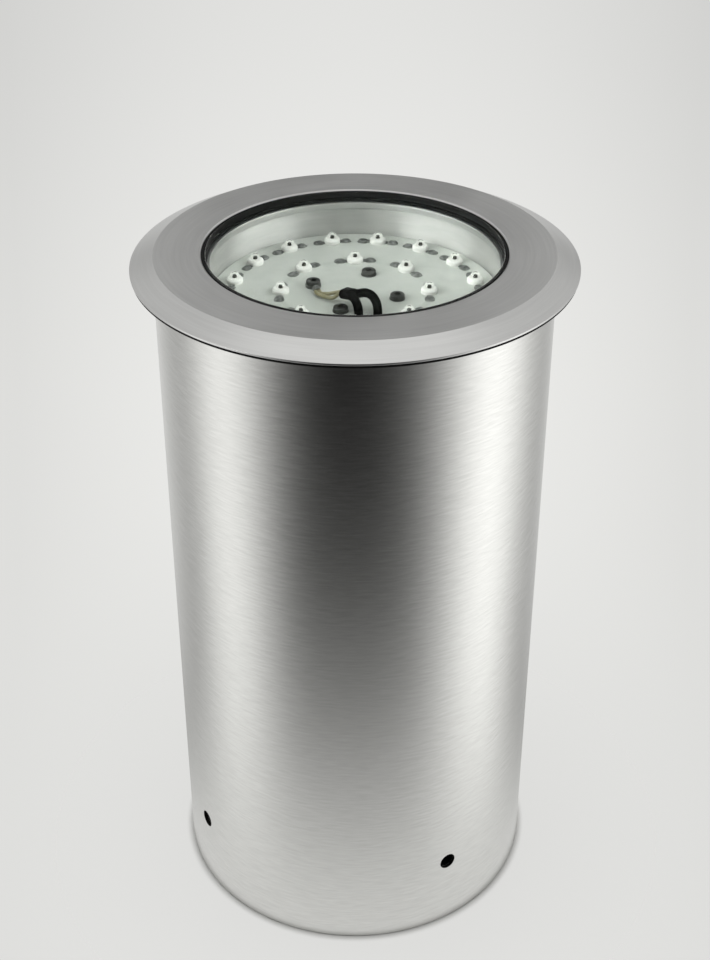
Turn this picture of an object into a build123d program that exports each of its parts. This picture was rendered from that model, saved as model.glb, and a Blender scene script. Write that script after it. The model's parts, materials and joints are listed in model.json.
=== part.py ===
from build123d import *
import math
import os

# Recessed ground light: an installation sleeve, and a sealed lamp insert that lifts out of it.
# Millimetres. The origin is the centre of the sleeve's foot, +Z is up and -Y is the front.

# Installation sleeve
sleeve_wall = 2.0
sleeve_length = 333.8
drain_hole_diameter = 8.5
drain_hole_height = 40.0
drain_hole_count = 4
drain_hole_turn = 31.3

# Trim ring
flange_overhang = 10.0
rim_height = 0.9
bevel_height = 5.1
bevel_width = 10.5
opening_step = 2.7
opening_chamfer = 0.6
hub_clearance = 6.0
ledge_width = 3.7
ledge_thickness = 3.2

# Gasket under the trim ring's flange: it beds on the sleeve's top and on the paving round it,
# with a shallow groove between these two seats
flange_gasket_thickness = 1.2
flange_gasket_inset = 0.4
flange_gasket_overlap = 4.8
flange_gasket_groove_offset = 1.0
flange_gasket_groove_width = 0.6
flange_gasket_groove_depth = 0.4

# Glass and its gasket
glass_thickness = 10.0
glass_recess = 0.3
glass_chamfer = 0.6
glass_gasket_wall = 1.8
glass_gasket_floor = 1.5
glass_gasket_lip = 0.6

# Lamp can: the rings round it, and then the sleeve, take their sizes from its bore
can_inner_diameter = 131.2
can_wall = 1.5
can_height = 136.0
can_flange_thickness = 2.0
can_base_thickness = 3.0
can_seal_width = 3.0
can_seal_depth = 2.2
can_seal_inset = 1.6

# Flange screws, from below
flange_screw_count = 6
flange_screw_can_gap = 9.4
flange_screw_edge = 5.5
flange_screw_diameter = 5.0
flange_screw_length = 10.0
flange_screw_head_diameter = 8.5
flange_screw_head_height = 5.0
flange_screw_socket = 4.0
flange_screw_socket_depth = 2.5
flange_screw_end_room = 1.0

# Spring clips
clip_count = 3
clip_width = 12.0
clip_thickness = 1.0
clip_drop = 40.0
clip_contact_drop = 24.0
clip_foot_overhang = 5.0
clip_tail_lean = 5.5
clip_bend_radius = 2.0
clip_bulge_radius = 6.0
clip_wall_clearance = 0.3

# Light board
board_depth = 28.2
board_thickness = 1.6
board_edge_clearance = 0.5
board_screw_circle = 40.0
board_screw_turn = -18.5
board_screw_count = 4
board_screw_diameter = 4.0
board_screw_length = 9.0
board_screw_head_diameter = 6.6
board_screw_head_height = 1.9
board_screw_head_rounding = 0.6
board_screw_recess = 2.5
board_screw_recess_depth = 1.0
board_washer_diameter = 7.2
board_washer_thickness = 0.5

# Light emitters
outer_led_count = 16
outer_led_can_gap = 9.6
inner_led_count = 8
inner_led_circle = 67.0
led_body_diameter = 7.6
led_body_height = 2.4
led_body_chamfer = 0.6
led_dome_diameter = 4.6
led_dome_height = 2.8
led_dome_cavity_gap = 0.1
led_die_diameter = 1.4
led_die_height = 0.9
led_pad_length = 5.2
led_pad_width = 4.6
led_pad_height = 1.2
led_pad_fillet = 0.8
led_pad_offset = 7.0
led_lead_width = 2.4
led_lead_thickness = 0.4

# Pillars and tray inside the can
pillar_across_flats = 7.0
spacer_length = 30.0
stud_length = 6.0
stud_bore_room = 1.0
tray_can_gap = 3.6
tray_thickness = 2.0
tray_middle_hole = 24.0
tray_cable_hole = 14.0
tray_cable_hole_place = (26.0, 34.0)

# Driver
driver_length = 66.0
driver_width = 20.0
driver_height = 34.0
driver_wall = 2.0
driver_lid_thickness = 2.5
driver_pillar_gap = 2.0
driver_boss_diameter = 6.0
driver_potting_room = 6.0
driver_ear_length = 8.0
driver_ear_width = 8.0
driver_ear_thickness = 2.5
lid_screw_diameter = 2.5
lid_screw_length = 7.0
lid_screw_head_diameter = 4.6
lid_screw_head_height = 1.6
lid_screw_slot = 0.8
lid_screw_slot_depth = 0.7

# Terminal block
terminal_place = (27.0, 17.0)
terminal_length = 13.0
terminal_width = 14.0
terminal_height = 12.0
terminal_pitch = 5.0
terminal_screw_diameter = 3.0
terminal_screw_depth = 4.0
terminal_screw_length = 3.0

# Screws and nuts that hold the driver and the terminal block to the tray
tray_screw_diameter = 3.0
tray_screw_head_diameter = 5.5
tray_screw_head_height = 2.0
tray_screw_end = 1.0
tray_nut_across_flats = 5.5
tray_nut_height = 2.4

# Cable gland
gland_thread_diameter = 20.0
gland_across_flats = 24.0
gland_collar_height = 6.0
gland_lower_thread = 12.0
gland_wall = 2.6
gland_seal_bore = 9.2
gland_seal_length = 9.0
gland_seal_proud = 1.0
gland_washer_thickness = 1.5
gland_washer_diameter = 24.0
gland_locknut_height = 5.0
gland_thread_end = 1.0
gland_nut_overlap = 8.0
gland_nut_height = 17.0
gland_nut_mouth = 12.0
gland_nut_lip = 2.5
gland_nut_taper = 4.0

# Wiring on the board
black_lead_diameter = 3.0
tan_lead_diameter = 1.3
tan_lead_spacing = 1.7
feed_lead_diameter = 2.0
feed_lead_slack = 5.0
lead_hole_clearance = 0.3
lead_end_run = 2.5
black_lead_boot_run = 2.3
black_lead_stand = 2.2
black_lead_bend_room = 16.0
black_lead_holes = [(1.6, -24.5), (10.0, -22.4)]
lid_lead_holes_x = (2.0, 11.0)
boot_length = 4.0
boot_width = 6.3
boot_thickness = 3.6
boot_place = (-3.0, -12.2)
boot_height = 5.2
boot_turn = 132.0
boot_tilt = 12.0
lug_ring_diameter = 7.2
lug_thickness = 0.8
lug_tail_length = 2.6
lug_tail_width = 2.4
lug_barrel_length = 3.4
lug_barrel_diameter = 3.2
lug_angle = -76.0

# Fits
close_gap = 0.05
hole_clearance = 0.25

# Radii that follow from the sizes above, from the can outwards
can_radius = can_inner_diameter / 2
can_outer = can_radius + can_wall
flange_screw_ring = can_outer + flange_screw_can_gap
hub_radius = flange_screw_ring + flange_screw_edge
sleeve_bore = hub_radius + hub_clearance
sleeve_radius = sleeve_bore + sleeve_wall
flange_radius = sleeve_radius + flange_overhang
flat_radius = flange_radius - bevel_width
opening_radius = can_radius + opening_step
ledge_radius = opening_radius - ledge_width
board_radius = can_radius - board_edge_clearance
outer_led_ring = can_radius - outer_led_can_gap
inner_led_ring = inner_led_circle / 2
board_screw_ring = board_screw_circle / 2
tray_radius = can_radius - tray_can_gap
flange_screw_radius = flange_screw_diameter / 2
board_screw_radius = board_screw_diameter / 2
tray_screw_radius = tray_screw_diameter / 2
gland_thread_radius = gland_thread_diameter / 2

# Heights that follow from the sizes above, from the sleeve's top
flange_under_z = sleeve_length + flange_gasket_thickness
rim_top_z = flange_under_z + rim_height
top_z = rim_top_z + bevel_height
glass_under_z = top_z - glass_recess - glass_thickness
ledge_z = glass_under_z - glass_gasket_floor
hub_under_z = ledge_z - ledge_thickness
can_flange_under_z = hub_under_z - can_flange_thickness
can_floor_z = hub_under_z - can_height
base_under_z = can_floor_z - can_base_thickness
board_top_z = top_z - board_depth
board_under_z = board_top_z - board_thickness
tray_under_z = can_floor_z + spacer_length
tray_top_z = tray_under_z + tray_thickness
driver_top_z = tray_top_z + driver_height
lid_top_z = driver_top_z + driver_lid_thickness
gland_thread_low = base_under_z - gland_washer_thickness - gland_collar_height - gland_lower_thread

# Places that follow from the sizes above
driver_back_y = -(board_screw_ring + pillar_across_flats / math.sqrt(3) + driver_pillar_gap)
driver_centre_y = driver_back_y - driver_width / 2
ear_screw_x = (driver_length + driver_ear_length) / 2
terminal_ear_x = terminal_place[0] + (terminal_length + driver_ear_length) / 2
feed_x = [terminal_place[0] + side * terminal_pitch / 2 for side in (-1, 1)]
feed_z = tray_top_z + terminal_height / 2
bottom_up = (Align.CENTER, Align.CENTER, Align.MIN)


def turned(*outline):
    # A closed outline of (radius, height) points, turned round the vertical axis.
    face = make_face(Polyline(*outline, close=True))
    return revolve(Plane.XZ * face, axis=Axis.Z)


def rod(radius, low, high, place=(0, 0)):
    return Pos(place[0], place[1], low) * Cylinder(radius, high - low, align=bottom_up)


def hex_rod(across_flats, low, high, place=(0, 0)):
    outline = RegularPolygon(across_flats / 2, 6, major_radius=False)
    return Pos(place[0], place[1], low) * extrude(outline, high - low)


def block(length, width, low, high, place=(0, 0)):
    return Pos(place[0], place[1], low) * Box(length, width, high - low, align=bottom_up)


def places_round(count, radius, turn=0.0):
    # Centres evenly spaced on a circle.
    angles = [math.radians(turn + 360 * step / count) for step in range(count)]
    return [(radius * math.cos(angle), radius * math.sin(angle)) for angle in angles]


def lead(points, diameter):
    # A round wire along straight runs joined by arcs as large as the runs allow.
    points = [Vector(*point) for point in points]
    radii = []
    for before, corner, after in zip(points, points[1:], points[2:]):
        run_in = corner - before
        run_out = after - corner
        half_turn = math.radians(run_in.get_angle(run_out)) / 2
        radii.append(0.45 * min(run_in.length, run_out.length) / math.tan(half_turn))
    path = FilletPolyline(*points, radius=radii)
    section = Plane(points[0], z_dir=points[1] - points[0]) * Circle(diameter / 2)
    wire = sweep(section, path=path)
    expected = math.pi * diameter ** 2 / 4 * path.length
    ratio = round(wire.volume / expected, 3)
    print("lead radii", [round(radius, 1) for radius in radii], "volume ratio", ratio)
    return wire


def save(node, *shapes):
    solids = [solid for shape in shapes for solid in shape.solids()]
    export_step(solids[0] if len(solids) == 1 else Compound(solids), f"parts/{node}.step")


def sleeve():
    tube = rod(sleeve_radius, 0, sleeve_length) - rod(sleeve_bore, 0, sleeve_length)
    drill = Pos(0, 0, drain_hole_height) * Rot(0, 90, 0)
    drill *= Cylinder(drain_hole_diameter / 2, 2 * sleeve_radius, align=bottom_up)
    for step in range(drain_hole_count):
        tube -= Rot(0, 0, drain_hole_turn + step * 360 / drain_hole_count) * drill
    return tube


def trim_ring():
    ring = turned(
        (ledge_radius, hub_under_z),
        (hub_radius, hub_under_z),
        (hub_radius, flange_under_z),
        (flange_radius, flange_under_z),
        (flange_radius, rim_top_z),
        (flat_radius, top_z),
        (opening_radius + opening_chamfer, top_z),
        (opening_radius, top_z - opening_chamfer),
        (opening_radius, ledge_z),
        (ledge_radius, ledge_z),
    )
    groove_inner = can_outer + can_seal_inset
    groove_outer = groove_inner + can_seal_width + 2 * close_gap
    groove_top = hub_under_z + can_seal_depth
    ring -= rod(groove_outer, hub_under_z, groove_top) - rod(groove_inner, hub_under_z, groove_top)
    hole_end = can_flange_under_z + flange_screw_length + flange_screw_end_room
    for place in places_round(flange_screw_count, flange_screw_ring):
        ring -= rod(flange_screw_radius + close_gap, hub_under_z, hole_end, place)
    return ring


def flange_gasket():
    seal = rod(flange_radius - flange_gasket_inset, sleeve_length, flange_under_z)
    seal -= rod(sleeve_bore - flange_gasket_overlap, sleeve_length, flange_under_z)
    groove_top = sleeve_length + flange_gasket_groove_depth
    groove_inner = sleeve_radius + flange_gasket_groove_offset
    groove = rod(groove_inner + flange_gasket_groove_width, sleeve_length, groove_top)
    return seal - (groove - rod(groove_inner, sleeve_length, groove_top))


def glass_lens():
    radius = opening_radius - glass_gasket_wall - 2 * close_gap
    top = top_z - glass_recess
    return turned(
        (0, glass_under_z),
        (radius - glass_chamfer, glass_under_z),
        (radius, glass_under_z + glass_chamfer),
        (radius, top - glass_chamfer),
        (radius - glass_chamfer, top),
        (0, top),
    )


def glass_gasket():
    outer = opening_radius - close_gap
    lip = ledge_radius - glass_gasket_lip
    top = top_z - glass_recess
    return turned(
        (lip, ledge_z),
        (outer, ledge_z),
        (outer, top - glass_chamfer),
        (outer - glass_gasket_wall / 2, top),
        (outer - glass_gasket_wall, top - glass_chamfer),
        (outer - glass_gasket_wall, glass_under_z),
        (lip, glass_under_z),
    )


def lamp_can():
    return rod(can_outer, can_floor_z, hub_under_z) - rod(can_radius, can_floor_z, hub_under_z)


def can_flange():
    # The flat ring welded round the can's mouth.
    ring = rod(hub_radius, can_flange_under_z, hub_under_z)
    ring -= rod(can_outer + close_gap, can_flange_under_z, hub_under_z)
    for place in places_round(flange_screw_count, flange_screw_ring):
        ring -= rod(flange_screw_radius + hole_clearance, can_flange_under_z, hub_under_z, place)
    return ring


def can_base():
    base = rod(can_outer, base_under_z, can_floor_z)
    base -= rod(gland_thread_radius + hole_clearance, base_under_z, can_floor_z)
    for place in pillar_places:
        base += rod(board_screw_radius, can_floor_z, can_floor_z + stud_length, place)
    return base


def can_seal():
    inner = can_outer + can_seal_inset + close_gap
    top = hub_under_z + can_seal_depth
    return rod(inner + can_seal_width, hub_under_z, top) - rod(inner, hub_under_z, top)


def socket_screw(place, seat):
    # A socket-head screw that points up, with its head under the seat.
    head_under = seat - flange_screw_head_height
    screw = rod(flange_screw_head_diameter / 2, head_under, seat, place)
    screw += rod(flange_screw_radius, seat, seat + flange_screw_length, place)
    return screw - hex_rod(flange_screw_socket, head_under, head_under + flange_screw_socket_depth, place)


def flange_screws():
    # Every second screw also clamps a clip.
    clip_step = flange_screw_count // clip_count
    screws = []
    for step, place in enumerate(places_round(flange_screw_count, flange_screw_ring)):
        drop = 0 if step % clip_step else clip_thickness
        screws.append(socket_screw(place, can_flange_under_z - drop))
    return screws


def spring_clip(step):
    # A bent strip: a foot under a flange screw, and a leaf that bulges out towards the sleeve's wall.
    reach = math.sqrt((sleeve_bore - clip_wall_clearance) ** 2 - (clip_width / 2) ** 2)
    middle_z = can_flange_under_z - clip_thickness / 2
    bulge = reach - clip_thickness / 2
    path = FilletPolyline(
        (flange_screw_ring - clip_foot_overhang, middle_z),
        (hub_radius + clip_bend_radius, middle_z),
        (bulge, middle_z - clip_contact_drop),
        (bulge - clip_tail_lean, middle_z - clip_drop),
        radius=[clip_bend_radius, clip_bulge_radius],
    )
    section = trace(path, clip_thickness)
    strip = extrude(Plane.XZ * section, clip_width / 2, both=True)
    hole = rod(
        flange_screw_radius + hole_clearance,
        middle_z - clip_thickness,
        middle_z + clip_thickness,
        (flange_screw_ring, 0),
    )
    return Rot(0, 0, 360 * step / clip_count) * (strip - hole)


def led_board():
    board = rod(board_radius, board_under_z, board_top_z)
    for place in pillar_places:
        board -= rod(board_screw_radius + hole_clearance, board_under_z, board_top_z, place)
    for place in black_lead_holes:
        board -= rod(black_lead_diameter / 2 + lead_hole_clearance, board_under_z, board_top_z, place)
    return board


def led_body():
    radius = led_body_diameter / 2
    return turned(
        (0, 0),
        (radius, 0),
        (radius, led_body_height - led_body_chamfer),
        (radius - led_body_chamfer, led_body_height),
        (0, led_body_height),
    )


def led_dome():
    # A rounded clear cap with a small cavity over the die.
    radius = led_dome_diameter / 2
    wall_top = led_body_height + led_dome_height - radius
    side = Polyline((0, led_body_height), (radius, led_body_height), (radius, wall_top))
    crown = RadiusArc((radius, wall_top), (0, wall_top + radius), -radius)
    back = Line((0, wall_top + radius), (0, led_body_height))
    cap = revolve(Plane.XZ * make_face([*side.edges(), crown, back]), axis=Axis.Z)
    cavity_top = led_body_height + led_die_height + led_dome_cavity_gap
    return cap - rod(led_die_diameter / 2 + led_dome_cavity_gap, led_body_height, cavity_top)


def led_die():
    return rod(led_die_diameter / 2, led_body_height, led_body_height + led_die_height)


def led_lead(side):
    # A flat lead from the body's side to its soldered pad on the board.
    pad = block(led_pad_width, led_pad_length, 0, led_pad_height, (0, side * led_pad_offset))
    top_edges = pad.edges().group_by(Axis.Z)[-1]
    pad = fillet([*top_edges, *pad.edges().filter_by(Axis.Z)], led_pad_fillet)
    inner = led_body_diameter / 2 + close_gap
    run = led_pad_offset - inner
    strip = block(led_lead_width, run, 0, led_lead_thickness, (0, side * (inner + run / 2)))
    return pad + strip


def on_led_ring(shape, count, radius, turn):
    # Copies of a shape on a ring of the board, each facing the middle.
    copies = []
    for step in range(count):
        spin = Pos(0, 0, board_top_z) * Rot(0, 0, turn + step * 360 / count)
        copies.append(spin * Pos(radius, 0, 0) * shape)
    return copies


def save_leds(ring, count, radius, turn):
    save(f"{ring}_led_bodies", *on_led_ring(led_body(), count, radius, turn))
    save(f"{ring}_led_domes", *on_led_ring(led_dome(), count, radius, turn))
    save(f"{ring}_led_dies", *on_led_ring(led_die(), count, radius, turn))
    leads = [
        *on_led_ring(led_lead(-1), count, radius, turn),
        *on_led_ring(led_lead(1), count, radius, turn),
    ]
    save(f"{ring}_led_leads", *leads)


def board_screw(place, seat):
    # A pan-head screw that points down, with a hexagon recess.
    head_top = seat + board_screw_head_height
    screw = rod(board_screw_head_diameter / 2, seat, head_top, place)
    screw = fillet(screw.edges().group_by(Axis.Z)[-1], board_screw_head_rounding)
    screw += rod(board_screw_radius, seat - board_screw_length, seat, place)
    return screw - hex_rod(board_screw_recess, head_top - board_screw_recess_depth, head_top, place)


def board_washer(place, seat):
    washer = rod(board_washer_diameter / 2, seat, seat + board_washer_thickness, place)
    return washer - rod(board_screw_radius + hole_clearance, seat, seat + board_washer_thickness, place)


def earth_lug():
    # A ring tag under one board screw, with a crimped barrel at the end of its tail.
    ring = rod(lug_ring_diameter / 2, 0, lug_thickness)
    tail_start = lug_ring_diameter / 2 - lug_thickness
    tail_end = tail_start + lug_tail_length
    tail = block(tail_end - tail_start, lug_tail_width, 0, lug_thickness, ((tail_start + tail_end) / 2, 0))
    barrel = Pos(tail_end, 0, lug_barrel_diameter / 2) * Rot(0, 90, 0)
    barrel *= Cylinder(lug_barrel_diameter / 2, lug_barrel_length, align=bottom_up)
    tag = ring + tail + barrel - rod(board_screw_radius + hole_clearance, 0, lug_thickness)
    return Pos(*lug_place, board_top_z) * Rot(0, 0, lug_angle) * tag


def upper_pillar(place):
    pillar = hex_rod(pillar_across_flats, tray_top_z, board_under_z, place)
    bore = board_screw_radius + close_gap
    stud_top = tray_under_z + stud_length + tray_thickness + stud_bore_room
    pillar -= rod(bore, tray_top_z, stud_top, place)
    return pillar - rod(bore, board_top_z - board_screw_length - stud_bore_room, board_under_z, place)


def tray_spacer(place):
    spacer = hex_rod(pillar_across_flats, can_floor_z, tray_under_z, place)
    spacer += rod(board_screw_radius, tray_under_z, tray_top_z + stud_length, place)
    bore = board_screw_radius + close_gap
    return spacer - rod(bore, can_floor_z, can_floor_z + stud_length + stud_bore_room, place)


def driver_tray():
    tray = rod(tray_radius, tray_under_z, tray_top_z)
    tray -= rod(tray_middle_hole / 2, tray_under_z, tray_top_z)
    tray -= rod(tray_cable_hole / 2, tray_under_z, tray_top_z, tray_cable_hole_place)
    for place in pillar_places:
        tray -= rod(board_screw_radius + hole_clearance, tray_under_z, tray_top_z, place)
    for place in tray_screw_places:
        tray -= rod(tray_screw_radius + hole_clearance, tray_under_z, tray_top_z, place)
    return tray


def driver_case():
    place = (0, driver_centre_y)
    floor_z = tray_top_z + driver_wall
    inner_length = driver_length - 2 * driver_wall
    inner_width = driver_width - 2 * driver_wall
    case = block(driver_length, driver_width, tray_top_z, driver_top_z, place)
    case -= block(inner_length, inner_width, floor_z, driver_top_z, place)
    for boss in lid_screw_places:
        case += rod(driver_boss_diameter / 2, floor_z, driver_top_z, boss)
        hole_end = driver_top_z - lid_screw_length
        case -= rod(lid_screw_diameter / 2 + close_gap, hole_end, driver_top_z, boss)
    for side in (-1, 1):
        ear_place = (side * ear_screw_x, driver_centre_y)
        ear_top = tray_top_z + driver_ear_thickness
        case += block(driver_ear_length, driver_ear_width, tray_top_z, ear_top, ear_place)
        case -= rod(tray_screw_radius + hole_clearance, tray_top_z, ear_top, ear_place)
    for x in feed_x:
        hole = Pos(x, driver_back_y, feed_z) * Rot(90, 0, 0)
        case -= hole * Cylinder(feed_lead_diameter / 2 + hole_clearance, 2 * driver_wall)
    return case


def driver_potting():
    length = driver_length - 2 * driver_wall - 2 * close_gap
    width = driver_width - 2 * driver_wall - 2 * close_gap
    low = tray_top_z + driver_wall
    high = driver_top_z - driver_potting_room
    fill = block(length, width, low, high, (0, driver_centre_y))
    for boss in lid_screw_places:
        fill -= rod(driver_boss_diameter / 2 + close_gap, low, high, boss)
    return fill


def driver_lid():
    lid = block(driver_length, driver_width, driver_top_z, lid_top_z, (0, driver_centre_y))
    for place in lid_screw_places:
        lid -= rod(lid_screw_diameter / 2 + hole_clearance, driver_top_z, lid_top_z, place)
    for place in lid_lead_holes:
        lid -= rod(black_lead_diameter / 2 + lead_hole_clearance, driver_top_z, lid_top_z, place)
    return lid


def lid_screw(place):
    head_top = lid_top_z + lid_screw_head_height
    screw = rod(lid_screw_head_diameter / 2, lid_top_z, head_top, place)
    screw += rod(lid_screw_diameter / 2, lid_top_z - lid_screw_length, lid_top_z, place)
    slot_low = head_top - lid_screw_slot_depth
    return screw - block(lid_screw_head_diameter, lid_screw_slot, slot_low, head_top, place)


def tray_screw(place):
    seat = tray_top_z + driver_ear_thickness
    head_top = seat + tray_screw_head_height
    screw = rod(tray_screw_head_diameter / 2, seat, head_top, place)
    screw += rod(tray_screw_radius, tray_under_z - tray_nut_height - tray_screw_end, seat, place)
    slot_low = head_top - lid_screw_slot_depth
    return screw - block(tray_screw_head_diameter, lid_screw_slot, slot_low, head_top, place)


def tray_nut(place):
    low = tray_under_z - tray_nut_height
    nut = hex_rod(tray_nut_across_flats, low, tray_under_z, place)
    return nut - rod(tray_screw_radius + close_gap, low, tray_under_z, place)


def terminal_block():
    top = tray_top_z + terminal_height
    body = block(terminal_length, terminal_width, tray_top_z, top, terminal_place)
    ear_place = (terminal_ear_x, terminal_place[1])
    ear_top = tray_top_z + driver_ear_thickness
    body += block(driver_ear_length, driver_ear_width, tray_top_z, ear_top, ear_place)
    body -= rod(tray_screw_radius + hole_clearance, tray_top_z, ear_top, ear_place)
    for x in feed_x:
        entry = Pos(x, terminal_place[1], feed_z) * Rot(90, 0, 0)
        body -= entry * Cylinder(feed_lead_diameter / 2 + hole_clearance, terminal_width)
        body -= rod(
            terminal_screw_diameter / 2 + close_gap,
            top - terminal_screw_depth,
            top,
            (x, terminal_place[1]),
        )
    return body


def terminal_screw(x):
    low = tray_top_z + terminal_height - terminal_screw_depth
    high = low + terminal_screw_length
    place = (x, terminal_place[1])
    screw = rod(terminal_screw_diameter / 2, low, high, place)
    slot_low = high - lid_screw_slot_depth
    return screw - block(terminal_screw_diameter, lid_screw_slot, slot_low, high, place)


def gland_body():
    collar_low = gland_thread_low + gland_lower_thread
    thread_top = can_floor_z + gland_locknut_height + gland_thread_end
    body = hex_rod(gland_across_flats, collar_low, collar_low + gland_collar_height)
    body += rod(gland_thread_radius, gland_thread_low, thread_top)
    body -= rod(gland_thread_radius - 2 * gland_wall, gland_thread_low, thread_top)
    seal_top = gland_thread_low + gland_seal_length
    return body - rod(gland_thread_radius - gland_wall, gland_thread_low, seal_top)


def gland_seal():
    low = gland_thread_low - gland_seal_proud
    high = gland_thread_low + gland_seal_length
    seal = rod(gland_thread_radius - gland_wall - close_gap, low, high)
    return seal - rod(gland_seal_bore / 2, low, high)


def gland_washer():
    low = base_under_z - gland_washer_thickness
    washer = rod(gland_washer_diameter / 2, low, base_under_z)
    return washer - rod(gland_thread_radius + close_gap, low, base_under_z)


def gland_locknut():
    high = can_floor_z + gland_locknut_height
    nut = hex_rod(gland_across_flats, can_floor_z, high)
    return nut - rod(gland_thread_radius + close_gap, can_floor_z, high)


def gland_nut():
    # The clamping nut: hexagonal above, and tapering to a rounded mouth below.
    high = gland_thread_low + gland_nut_overlap
    low = high - gland_nut_height
    corner = gland_across_flats / math.sqrt(3)
    envelope = turned(
        (0, low),
        (gland_nut_mouth / 2 + gland_nut_lip, low),
        (corner, low + gland_nut_taper),
        (corner, high),
        (0, high),
    )
    nut = hex_rod(gland_across_flats, low, high) & envelope
    nut -= rod(gland_nut_mouth / 2, low, high)
    inside = gland_thread_low - gland_seal_proud
    return nut - rod(gland_thread_radius + close_gap, inside, high)


def lead_boot():
    # A flattened sleeve that holds the ends of the black and tan leads together.
    section = boot_plane * RectangleRounded(boot_width, boot_thickness, boot_thickness / 2 - close_gap)
    return extrude(section, boot_length / 2, both=True)


def black_lead(side, foot, lid_hole, middle):
    # From the driver up through the board, over in an arch and into the boot.
    end = boot_plane.from_local_coords(Vector(side * boot_width / 4, 0, -boot_length / 2))
    points = [
        (*lid_hole, driver_top_z - driver_potting_room),
        (*lid_hole, lid_top_z + black_lead_bend_room),
        (*foot, board_under_z - black_lead_bend_room),
        (*foot, board_top_z + black_lead_stand),
        *[(x, y, board_top_z + height) for x, y, height in middle],
        end - boot_plane.z_dir * black_lead_boot_run,
        end,
    ]
    return lead(points, black_lead_diameter)


def tan_lead(side, middle):
    # From the lug's barrel to the boot.
    direction = Vector(1, 0, 0).rotate(Axis.Z, lug_angle)
    across = Vector(0, 1, 0).rotate(Axis.Z, lug_angle)
    reach = lug_ring_diameter / 2 - lug_thickness + lug_tail_length + lug_barrel_length
    middle_of_barrel = Vector(*lug_place, board_top_z + lug_barrel_diameter / 2)
    start = middle_of_barrel + direction * reach + across * (side * tan_lead_spacing / 2)
    end = boot_plane.from_local_coords(Vector(side * boot_width / 4, 0, boot_length / 2))
    points = [
        start,
        start + direction * lead_end_run,
        *[(x, y, board_top_z + height) for x, y, height in middle],
        end + boot_plane.z_dir * lead_end_run,
        end,
    ]
    return lead(points, tan_lead_diameter)


def feed_lead(x):
    # From the driver's wall to the terminal block, with a little slack.
    start_y = driver_back_y - driver_wall
    end_y = terminal_place[1]
    run = (end_y - start_y) / 4
    points = [
        (x, start_y, feed_z),
        (x, start_y + run, feed_z),
        (x, start_y + 2 * run, feed_z + feed_lead_slack),
        (x, end_y - run, feed_z),
        (x, end_y, feed_z),
    ]
    return lead(points, feed_lead_diameter)


# Places that several pieces share
pillar_places = places_round(board_screw_count, board_screw_ring, board_screw_turn)
lug_place = pillar_places[2]
lid_lead_holes = [(x, driver_centre_y) for x in lid_lead_holes_x]
lid_screw_places = [
    (side * (driver_length / 2 - driver_boss_diameter / 2), driver_centre_y) for side in (-1, 1)
]
tray_screw_places = [
    (-ear_screw_x, driver_centre_y),
    (ear_screw_x, driver_centre_y),
    (terminal_ear_x, terminal_place[1]),
]
boot_across = Vector(0, -1, 0).rotate(Axis.Z, boot_turn)
boot_plane = Plane(
    origin=(*boot_place, board_top_z + boot_height),
    x_dir=boot_across,
    z_dir=Vector(1, 0, 0).rotate(Axis.Y, boot_tilt).rotate(Axis.Z, boot_turn),
)

os.makedirs("parts", exist_ok=True)
save("sleeve", sleeve())
save("trim_ring", trim_ring())
save("flange_gasket", flange_gasket())
save("glass_lens", glass_lens())
save("glass_gasket", glass_gasket())
save("lamp_can", lamp_can())
save("can_flange", can_flange())
save("can_base", can_base())
save("can_seal", can_seal())
save("flange_screws", *flange_screws())
for step in range(clip_count):
    save(f"spring_clip_{step + 1}", spring_clip(step))
save("led_board", led_board())
save_leds("outer", outer_led_count, outer_led_ring, 180 / outer_led_count)
save_leds("inner", inner_led_count, inner_led_ring, 0)
lug_rise = [lug_thickness if place == lug_place else 0 for place in pillar_places]
washer_seats = [board_top_z + rise for rise in lug_rise]
save("board_washers", *map(board_washer, pillar_places, washer_seats))
screw_seats = [seat + board_washer_thickness for seat in washer_seats]
save("board_screws", *map(board_screw, pillar_places, screw_seats))
save("earth_lug", earth_lug())
save("board_pillars", *map(upper_pillar, pillar_places))
save("tray_spacers", *map(tray_spacer, pillar_places))
save("driver_tray", driver_tray())
save("driver_case", driver_case())
save("driver_potting", driver_potting())
save("driver_lid", driver_lid())
save("lid_screws", *map(lid_screw, lid_screw_places))
save("tray_screws", *map(tray_screw, tray_screw_places))
save("tray_nuts", *map(tray_nut, tray_screw_places))
save("terminal_block", terminal_block())
save("terminal_screws", *map(terminal_screw, feed_x))
save("gland_body", gland_body())
save("gland_seal", gland_seal())
save("gland_washer", gland_washer())
save("gland_locknut", gland_locknut())
save("gland_nut", gland_nut())
save("lead_boot", lead_boot())
left_arch = [(1.2, -22.8, 4.4), (0.2, -19.9, 5.6)]
right_arch = [(9.6, -20.6, 4.6), (7.8, -17.9, 6.9), (4.8, -15.9, 7.6)]
save("black_lead_left", black_lead(-1, black_lead_holes[0], lid_lead_holes[0], left_arch))
save("black_lead_right", black_lead(1, black_lead_holes[1], lid_lead_holes[1], right_arch))
save("tan_lead_left", tan_lead(-1, [(-14.6, -7.0, 1.5), (-9.6, -10.4, 2.0)]))
save("tan_lead_right", tan_lead(1, [(-12.2, -6.6, 2.4)]))
save("feed_leads", *map(feed_lead, feed_x))
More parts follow.
